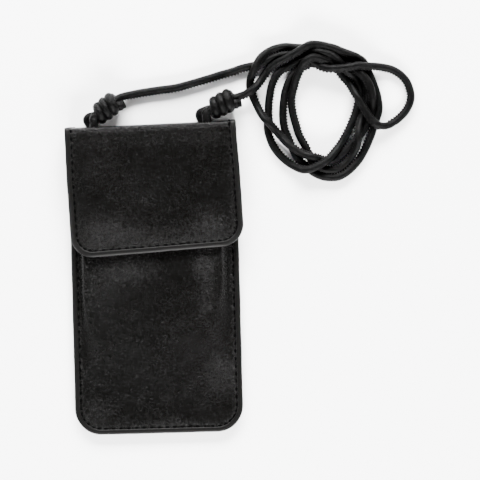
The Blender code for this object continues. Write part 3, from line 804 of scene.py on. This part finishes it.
def make_noose(side):
    """Loop through the end wall, three wraps round the standing cord, and the cut tail."""
    knot = KNOTS[side]
    centre, along, across = knot_axes(knot)
    up = Vector((0.0, 0.0, 1.0))
    radius = knot["radius"] * MM - WRAP_RADIUS
    half = WRAP_PITCH * WRAPS / 2
    face = centre - along * (half + FACE_GAP)
    spread = (HOLE_HEIGHTS[0] - HOLE_HEIGHTS[1]) / 2
    middle = sum(HOLE_HEIGHTS) / 2
    bow = [Vector((x * MM, y * MM, 0.0)) for x, y in knot["bow"]]

    def strand(level):
        route = []
        for i, point in enumerate(bow):
            share = (i + 1) / len(bow)
            height = KNOT_Z + (middle - KNOT_Z) * share
            height += level * (CORD_RADIUS + (spread - CORD_RADIUS) * share)
            route.append(point + Vector((level * BOW_SPREAD, 0.0, height)))
        x = knot["hole_x"] * MM + level * HOLE_SHIFT
        for y in (WALL_Y - 0.8 * MM, WALL_Y - LOOP_DEPTH):
            route.append(Vector((x, y, middle + level * spread)))
        return route

    route = [centre - along * 2.0 * MM + up * 1.6 * MM, face + up * CORD_RADIUS]
    route += strand(1)
    route.append(Vector((knot["hole_x"] * MM, WALL_Y - LOOP_DEPTH - spread, middle)))
    route += list(reversed(strand(-1)))
    route.append(face - up * CORD_RADIUS * 1.2 + across * 0.8 * MM)
    steps = WRAPS * WRAP_STEPS
    for i in range(steps + 1):
        turn = 2 * math.pi * WRAPS * i / steps + WRAP_START
        advance = 0.25 * WRAP_PITCH + (WRAPS - 0.5) * WRAP_PITCH * i / steps
        place = centre + along * (-half + advance)
        wide = radius * (1.0 - WRAP_TAPER * (1.0 - min(2.0 * i / steps, 1.0)))
        place += across * math.cos(-turn) * wide + up * math.sin(-turn) * wide
        route.append(place)
    for forward, sideways, rise in TAIL:
        route.append(centre + along * (half + forward * MM) + across * sideways * MM
                     + up * rise * MM)
    fine = [Vector(point) for point in smooth_route([tuple(p) for p in route], RING_STEP)]

    def thickness(point):
        past = (abs((point - centre).dot(along)) - half) / WRAP_FADE
        return WRAP_RADIUS + (STRAND_RADIUS - WRAP_RADIUS) * clamp(past)

    radii = [thickness(point) for point in fine]

    def seam(point, _tangent):
        """Outwards and away from the wall in the wraps, and underneath in the loop."""
        outwards = along * 0.8 + (point - centre) * 60.0
        past = (-(point - centre).dot(along) - half) / WRAP_FADE
        return outwards.lerp(-up, clamp(past))

    rings = tube_rings(fine, radii, seam, NOOSE_SEAM)
    name = "noose_" + side
    return new_piece(name, loop_tube(name, rings), CORD_LEATHER)


# ---------------------------------------------------------------- pouch surfaces
# The top end is pulled a little out of square by the cord, and the flap lies askew.
END_TILT = 0.021
TILTED_Y = (40 * MM, 90 * MM)
FLAP_END_TILT = 0.060
FLAP_TILT_LENGTH = 75 * MM
FLAP_SKEW = 0.040
FLAP_SHIFT = -0.7 * MM

# The fold of the flap's sheet: from the wall's foot, up the wall and over
FOLD_RADIUS = 2.4 * MM
WALL_FOOT_Z = 2.2 * MM
WALL_LEAN = 0.75 * MM
FOLD_HALF_WIDTH = 50.1 * MM
SPREAD_LENGTH = 30 * MM
CREASE_DEPTH = 0.3 * MM
CREASE_WIDTH = 0.7 * MM
SEAM_FADE = 4 * MM

# Seams and bindings
GROOVE_DEPTH = 0.22 * MM
GROOVE_WIDTH = 0.6 * MM
BAND_LIFT = 0.5 * MM
BACK_RIM = (3.3 * MM, 2.7 * MM)
BACK_EDGE_Z = 1.9 * MM
MOUTH_EDGE_Y = (72 * MM, 60 * MM)

# The front panel swells to its crown in two steps: share of the crown, from and to which Y
SWELLS = ((0.826, -86 * MM, 6 * MM), (0.174, 40 * MM, MOUTH_Y))
CROWN = front_high[2] - SEAM_TOP

# Its folded sides, left and right: X of the ridge at the top, from and to which Y the ridge
# runs inwards, and X of the foot below it
RIDGES = ((41.6 * MM, -8 * MM, -74 * MM, 44.3 * MM), (38.6 * MM, 4 * MM, -72 * MM, 43.4 * MM))
RIDGE_RUN = 14.0 * MM
RIDGE_FULLNESS = 0.8
CRISP_Y = (-46 * MM, 2 * MM)
LIP_Y = (40 * MM, 16 * MM)
LIP_HEIGHT, LIP_INSET, LIP_WIDTH = 0.42 * MM, 0.4 * MM, 1.5 * MM
DIP_DEPTH, DIP_INSET, DIP_WIDTH = 0.5 * MM, 7 * MM, 5.0 * MM
FRONT_WAVES = ((0.30 * MM, 45.0, 1.3), (0.14 * MM, 120.0, 4.1))
WAVY_INSET = (4.5 * MM, 12.0 * MM)

# How the closed flap hangs down at its sides and its end
SIDE_DROP = 6.2 * MM
SIDE_DROP_X = (37 * MM, 56 * MM)
SIDE_DROP_Y = (88 * MM, 34 * MM)
END_DROP = 2.0 * MM
END_DROP_Y = (26 * MM, 13 * MM)
FLAP_WAVES = ((0.34 * MM, 40.0, 8.2), (0.15 * MM, 110.0, 2.6))
WAVY_FLAP_Y = (86 * MM, 74 * MM)


def seam_groove(inset, seam):
    """The leather is drawn down along the stitches."""
    return -GROOVE_DEPTH * bell(inset - seam, GROOVE_WIDTH)


def body_inset(x, y):
    return rim_inset(x, y, BODY_OUTLINE)


def front_height(x, y):
    top_x, start, end, foot = RIDGES[0 if x < 0 else 1]
    ridge = top_x - RIDGE_RUN * smooth_step(start, end, y)
    rise = sum(CROWN * share * smooth_step(low, high, y) for share, low, high in SWELLS)
    side = smooth_step(foot, ridge, abs(x)) ** RIDGE_FULLNESS
    crisp = smooth_step(*CRISP_Y, y)
    lip = LIP_HEIGHT * crisp * smooth_step(*LIP_Y, y) * bell(abs(x) - ridge + LIP_INSET, LIP_WIDTH)
    dip = -DIP_DEPTH * crisp * bell(abs(x) - ridge + DIP_INSET, DIP_WIDTH)
    inset = body_inset(x, y)
    uneven = ripples(x, y, FRONT_WAVES) * smooth_step(*WAVY_INSET, inset)
    return SEAM_TOP + rise * side + lip + dip + uneven + seam_groove(inset, BODY_SEAM)


def lean(x, y):
    """How far the out-of-square top end moves a point along Y."""
    return END_TILT * x * smooth_step(*TILTED_Y, y)


def front_surface(x, y):
    return Vector((x, y + lean(x, y), front_height(x, y)))


def seam_height(y):
    """Top of the body's edge: four layers up to the mouth, the back alone above it."""
    return BACK_EDGE_Z + (SEAM_TOP - BACK_EDGE_Z) * smooth_step(*MOUTH_EDGE_Y, y)


def edge_surface(x, y):
    return Vector((x, y + lean(x, y), seam_height(y)))


def back_surface(x, y):
    """Outer face of the back. It is drawn in along the edge, under the binding."""
    inset = body_inset(x, y)
    rim = BAND_LIFT * smooth_step(*BACK_RIM, inset)
    return Vector((x, y + lean(x, y), max(rim, -seam_groove(inset, BODY_SEAM))))


def back_outside(x, y):
    """The same face seen from behind, for the stitches on it."""
    return back_surface(-x, y)


def seam_line(x, y):
    """Bottom of the body's seam groove."""
    point = edge_surface(x, y)
    point.z -= GROOVE_DEPTH
    return point


WALL_TOP_Y = WALL_Y - WALL_LEAN
FOLD_CENTRE = (WALL_TOP_Y - FOLD_RADIUS, FLAP_TOP_Z - FOLD_RADIUS)
FOOT_LENGTH = WALL_FOOT_Z * math.pi / 2
WALL_LENGTH = math.hypot(WALL_LEAN, FOLD_CENTRE[1] - WALL_FOOT_Z)
FOLD_LENGTH = FOLD_RADIUS * math.pi / 2

# Distance along the sheet, from its root, at which each part of it begins
WALL_FROM = FOOT_LENGTH
FOLD_FROM = WALL_FROM + WALL_LENGTH
FLAP_FROM = FOLD_FROM + FOLD_LENGTH
SHEET_LENGTH = FLAP_FROM + FOLD_CENTRE[0] - FLAP_END_Y
CREASE_AT = FOLD_FROM + 0.95 * FOLD_LENGTH


def flap_drape(x, y):
    """How far the closed flap hangs below its level at the fold and the snap."""
    side = SIDE_DROP * smooth_step(*SIDE_DROP_X, abs(x)) * smooth_step(*SIDE_DROP_Y, y)
    end = END_DROP * smooth_step(*END_DROP_Y, y)
    return side + end - ripples(x, y, FLAP_WAVES) * smooth_step(*WAVY_FLAP_Y, y)


def flap_spread(along):
    """Share of the full flap width that the sheet has at this distance from its root."""
    wall = smooth_step(0.0, FOLD_FROM, along)
    free = smooth_step(FLAP_FROM, FLAP_FROM + SPREAD_LENGTH, along)
    width = BODY_HALF_WIDTH + (FOLD_HALF_WIDTH - BODY_HALF_WIDTH) * wall
    width += (FLAP_HALF_WIDTH - FOLD_HALF_WIDTH) * free
    return width / FLAP_HALF_WIDTH


def flap_surface(x, b):
    """Outer face of the end wall, fold and flap. b is the distance from the free end."""
    along = SHEET_LENGTH - b
    if along < WALL_FROM:
        turn = along / WALL_FOOT_Z
        y = WALL_Y - WALL_FOOT_Z + WALL_FOOT_Z * math.sin(turn)
        z = WALL_FOOT_Z - WALL_FOOT_Z * math.cos(turn)
    elif along < FOLD_FROM:
        share = (along - WALL_FROM) / WALL_LENGTH
        y = WALL_Y - WALL_LEAN * share
        z = WALL_FOOT_Z + (FOLD_CENTRE[1] - WALL_FOOT_Z) * share
    elif along < FLAP_FROM:
        turn = (along - FOLD_FROM) / FOLD_RADIUS
        y = FOLD_CENTRE[0] + FOLD_RADIUS * math.cos(turn)
        z = FOLD_CENTRE[1] + FOLD_RADIUS * math.sin(turn)
    else:
        y = FOLD_CENTRE[0] - (along - FLAP_FROM)
        z = FLAP_TOP_Z - flap_drape(x, y)
    z -= CREASE_DEPTH * bell(along - CREASE_AT, CREASE_WIDTH)
    free = max(along - FLAP_FROM, 0.0)
    z += seam_groove(rim_inset(x, b, FLAP_OUTLINE), FLAP_SEAM) * smooth_step(0.0, SEAM_FADE, free)
    tilt = END_TILT + (FLAP_END_TILT - END_TILT) * free / FLAP_TILT_LENGTH
    shift = FLAP_SHIFT * smooth_step(0.0, FOLD_FROM, along) + FLAP_SKEW * free
    return Vector((x * flap_spread(along) + shift, y + tilt * x, z))


def under(surface, depth):
    """The surface that lies this far below another one."""
    def lowered(a, b):
        point, _, _, normal = surface_frame(surface, a, b)
        return point - normal * depth
    return lowered


def flap_inside(x, b):
    """Inner face of the flap, seen from inside, for the stitches on it."""
    point, _, _, normal = surface_frame(flap_surface, -x, b)
    return point - normal * (LEATHER + LINING)


# ---------------------------------------------------------------- pouch pieces
BODY_OUTLINE = (BODY_HALF_WIDTH, BODY_END_Y, BODY_CORNER)
FLAP_OUTLINE = (FLAP_HALF_WIDTH, 0.0, FLAP_CORNER)
BODY_TOP = WALL_Y - WALL_FOOT_Z
CORNER_ROWS = 24
LEATHER_INSET = 0.8 * MM
LINING_INSET = 1.2 * MM

# Mesh spacing of the sheets and of the bindings
PANEL_STEP = 0.8 * MM
BACK_STEP = 1.2 * MM
LINING_STEP = 2.0 * MM
BACK_LINING_STEP = 3.0 * MM
BODY_BAND_STEP = 1.0 * MM
FLAP_BAND_STEP = 0.8 * MM
MOUTH_BAND_STEPS = 80

# Gaps between leather and lining, and how far short of the top linings and seams stop
BACK_GAP = 0.15 * MM
FRONT_GAP = 0.1 * MM
FLAP_GAP = 0.05 * MM
SHORT_OF_TOP = 2 * MM
FLAP_SEAM_STOP = 3 * MM
FRONT_LINING_STOP = 1 * MM

# Top of each binding, from its inner edge outwards: inset from the rim and lift, in mm
BODY_SECTION = ((2.95, -0.1), (2.9, 0.30), (2.6, 0.46), (1.9, 0.56), (1.1, 0.54), (0.5, 0.38),
                (0.15, 0.1))
FLAP_SECTION = ((3.35, -0.1), (3.3, 0.28), (3.0, 0.44), (2.2, 0.56), (1.3, 0.54), (0.5, 0.36),
                (0.12, 0.05))
MOUTH_SECTION = ((3.3, -0.1), (3.2, 0.32), (2.6, 0.48), (1.2, 0.48), (0.2, 0.3), (-0.3, -0.3),
                 (-0.45, -0.9), (-0.3, -1.5), (0.2, -2.0), (1.2, -2.1), (2.6, -2.1), (3.2, -1.9),
                 (3.3, -1.6))


def sheet_rows(end, corner, top, spacing):
    """Rows that lie close together round the corners and evenly spaced above them."""
    low = [end + corner * (1 - math.cos(math.pi / 2 * i / CORNER_ROWS))
           for i in range(CORNER_ROWS)]
    return low + spaced(end + corner, top, round((top - end - corner) / spacing))


def leather_sheet(name, surface, outline, top, spacing, material, thickness, side=-1.0):
    """A sheet with two round corners that follows a surface, thickened on one side of it."""
    half_width, end, corner = outline
    columns = spaced(-1.0, 1.0, round(2 * half_width / spacing))
    rows = sheet_rows(end, corner, top, spacing)

    def place(column, row):
        return surface(column * half_width_at(row, half_width, end, corner), row)

    piece = new_piece(name, grid_mesh(name, columns, rows, place), material)
    thicken(piece, thickness, side)
    return piece


def shrunk(outline, by):
    half_width, end, corner = outline
    return (half_width - by, end + by, corner - by)


def in_metres(profile):
    return [(inset * MM, lift * MM) for inset, lift in profile]


def body_section(b):
    """Binding from the seam on top, round the rim and back under it."""
    depth = seam_height(b) / MM
    rim = [(-0.05, -0.35), (-0.1, -depth / 2), (-0.02, -depth + 0.75)]
    low = [(0.3, -depth + 0.22), (1.2, -depth), (2.2, -depth), (2.8, -depth + 0.06),
           (2.95, -depth + 0.4), (2.7, -depth + 0.9)]
    return in_metres(list(BODY_SECTION) + rim + low)


def flap_section(b):
    """The same for the flap. It thins out towards the foot of the end wall."""
    depth = (LEATHER + LINING) / MM
    free = 0.04 + 0.96 * smooth_step(0.0, WALL_FROM + 2 * MM, SHEET_LENGTH - b)
    top = [(inset, lift * free) for inset, lift in FLAP_SECTION]
    low = [(-0.02, -depth / 2), (0.12, -depth + 0.1), (0.6, -depth - 0.2), (1.4, -depth - 0.34),
           (2.6, -depth - 0.34), (3.4, -depth - 0.24), (3.7, -depth + 0.1), (3.4, -depth + 0.4)]
    return in_metres(top + low)


def mouth_section(_b):
    return in_metres(MOUTH_SECTION)


def band_piece(name, surface, path, section, body=None):
    piece = new_piece(name, edge_band(name, surface, path, section), EDGE_LEATHER)
    if body:
        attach(piece, body)
    return piece


def punch_holes(piece):
    """Holes in the end wall for the two strands of each noose."""
    shape = bmesh.new()
    for knot in KNOTS.values():
        for level, height in zip((1, -1), HOLE_HEIGHTS):
            x = knot["hole_x"] * MM + level * HOLE_SHIFT
            place = Matrix.Translation((x, WALL_Y - 0.6 * MM, height))
            place @= Matrix.Rotation(math.pi / 2, 4, "X")
            bmesh.ops.create_cone(shape, cap_ends=True, segments=32, radius1=HOLE_RADIUS,
                                  radius2=HOLE_RADIUS, depth=HOLE_DEPTH, matrix=place)
    mesh = bpy.data.meshes.new("hole_punch")
    shape.to_mesh(mesh)
    shape.free()
    punch = bpy.data.objects.new("hole_punch", mesh)
    bpy.context.scene.collection.objects.link(punch)
    cut = piece.modifiers.new("holes", "BOOLEAN")
    cut.operation = "DIFFERENCE"
    cut.solver = "EXACT"
    cut.object = punch
    apply_modifiers(piece)
    bpy.data.objects.remove(punch)
    bpy.data.meshes.remove(mesh)


def turn_with_flap(piece):
    """Bake the piece's placement into its mesh. It is not bent over the fold nor attached to the
    flap.
    """
    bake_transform(piece)


def make_pouch():
    outline = shrunk(BODY_OUTLINE, LEATHER_INSET)
    back = leather_sheet("back_leather", back_surface, outline, BODY_TOP, BACK_STEP,
                         PANEL_LEATHER, LEATHER, 1.0)
    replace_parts(back, "back_panel")
    front = leather_sheet("front_leather", front_surface, outline, MOUTH_Y, PANEL_STEP,
                          PANEL_LEATHER, LEATHER)
    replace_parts(front, "front_panel")
    # Painted sheen in patches and wear beside the seam, stored per point for the leather shader
    paint_sheen_and_wear(front, BODY_PAINTED_SHEEN, BODY_OUTLINE)
    paint_sheen_and_wear(back, BODY_PAINTED_SHEEN, BODY_OUTLINE)
    for piece in (back, front):
        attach(piece, "pouch")

    lining_outline = shrunk(BODY_OUTLINE, LINING_INSET)
    inner_back = leather_sheet("back_lining_cloth", under(back_surface, -LEATHER - BACK_GAP),
                               lining_outline, BODY_TOP - SHORT_OF_TOP, BACK_LINING_STEP,
                               LINING_CLOTH, LINING, 1.0)
    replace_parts(inner_back, "back_lining")
    inner_front = leather_sheet("front_lining_cloth", under(front_surface, LEATHER + FRONT_GAP),
                                lining_outline, MOUTH_Y - FRONT_LINING_STOP, LINING_STEP,
                                LINING_CLOTH, LINING)
    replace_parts(inner_front, "front_lining")
    for piece in (inner_back, inner_front):
        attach(piece, "pouch")

    path = outline_path(*BODY_OUTLINE, BODY_TOP, BODY_BAND_STEP)
    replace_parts(band_piece("body_edge", edge_surface, path, body_section, "pouch"), "body_binding")
    mouth_x = mouth_high[0]
    mouth_path = [(x, MOUTH_Y, 0.0, 1.0) for x in spaced(-mouth_x, mouth_x, MOUTH_BAND_STEPS)]
    mouth = band_piece("mouth_edge", front_surface, mouth_path, mouth_section, "pouch")
    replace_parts(mouth, "mouth_binding")

    seam = outline_path(*BODY_OUTLINE, BODY_TOP - SHORT_OF_TOP, STITCH_PITCH)
    threads = stitches("body_stitches", seam_line, seam, BODY_SEAM)
    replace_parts(threads, "body_seam_thread")
    behind = stitches("back_stitches", back_outside, seam, BODY_SEAM)
    for piece in (threads, behind):
        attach(piece, "pouch")


def make_flap():
    sheet = leather_sheet("flap_leather", flap_surface, shrunk(FLAP_OUTLINE, LEATHER_INSET),
                          SHEET_LENGTH, PANEL_STEP, PANEL_LEATHER, LEATHER)
    punch_holes(sheet)
    paint_sheen_and_wear(sheet, FLAP_PAINTED_SHEEN, (FLAP_HALF_WIDTH, FLAP_END_Y, FLAP_CORNER))
    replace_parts(sheet, "flap_panel")
    turn_with_flap(sheet)

    flap_length = SHEET_LENGTH - FLAP_FROM
    lining = leather_sheet("flap_lining_cloth", under(flap_surface, LEATHER + FLAP_GAP),
                           shrunk(FLAP_OUTLINE, LINING_INSET), flap_length - SHORT_OF_TOP,
                           LINING_STEP, LINING_CLOTH, LINING)
    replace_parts(lining, "flap_lining")
    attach(lining, "flap")

    path = outline_path(*FLAP_OUTLINE, SHEET_LENGTH, FLAP_BAND_STEP)
    band = band_piece("flap_edge", flap_surface, path, flap_section)
    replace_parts(band, "flap_binding")
    turn_with_flap(band)

    seam = outline_path(*FLAP_OUTLINE, SHEET_LENGTH - FLAP_SEAM_STOP, STITCH_PITCH)
    threads = stitches("flap_stitches", flap_surface, seam, FLAP_SEAM)
    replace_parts(threads, "flap_seam_thread")
    turn_with_flap(threads)
    inner_seam = outline_path(*FLAP_OUTLINE, flap_length - SHORT_OF_TOP, STITCH_PITCH)
    inner = stitches("flap_inner_stitches", flap_inside, inner_seam, FLAP_SEAM)
    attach(inner, "flap")


def make_cords():
    left = make_noose("left")
    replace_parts(left, "cord_loop_left", "knot_left", "cord_tail_left")
    right = make_noose("right")
    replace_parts(right, "cord_loop_right", "knot_right", "cord_tail_right")
    cord, path = make_neck_cord()
    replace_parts(cord, "cord_run_left", "cord_run_right", "cord_side_loop", "cord_coil")
    for piece in (left, right, cord):
        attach(piece, "pouch")


def finish_kept_nodes():
    """The CAD nodes that stay as they are still need their procedural materials."""
    finishes = {"snap_socket": METAL, "snap_stud": METAL, "card_slot": PANEL_LEATHER}
    for name, material in finishes.items():
        for slot in bpy.data.objects[name].material_slots:
            slot.material = material


def make_floor():
    half = 6.0
    mesh = bpy.data.meshes.new("floor")
    corners = [(-half, -half), (half, -half), (half, half), (-half, half)]
    mesh.from_pydata([(x, y, -0.05 * MM) for x, y in corners], [], [(0, 1, 2, 3)])
    new_piece("floor", mesh, floor_material())


add_camera()
make_cords()
make_pouch()
make_flap()
finish_kept_nodes()
make_floor()
add_studio()
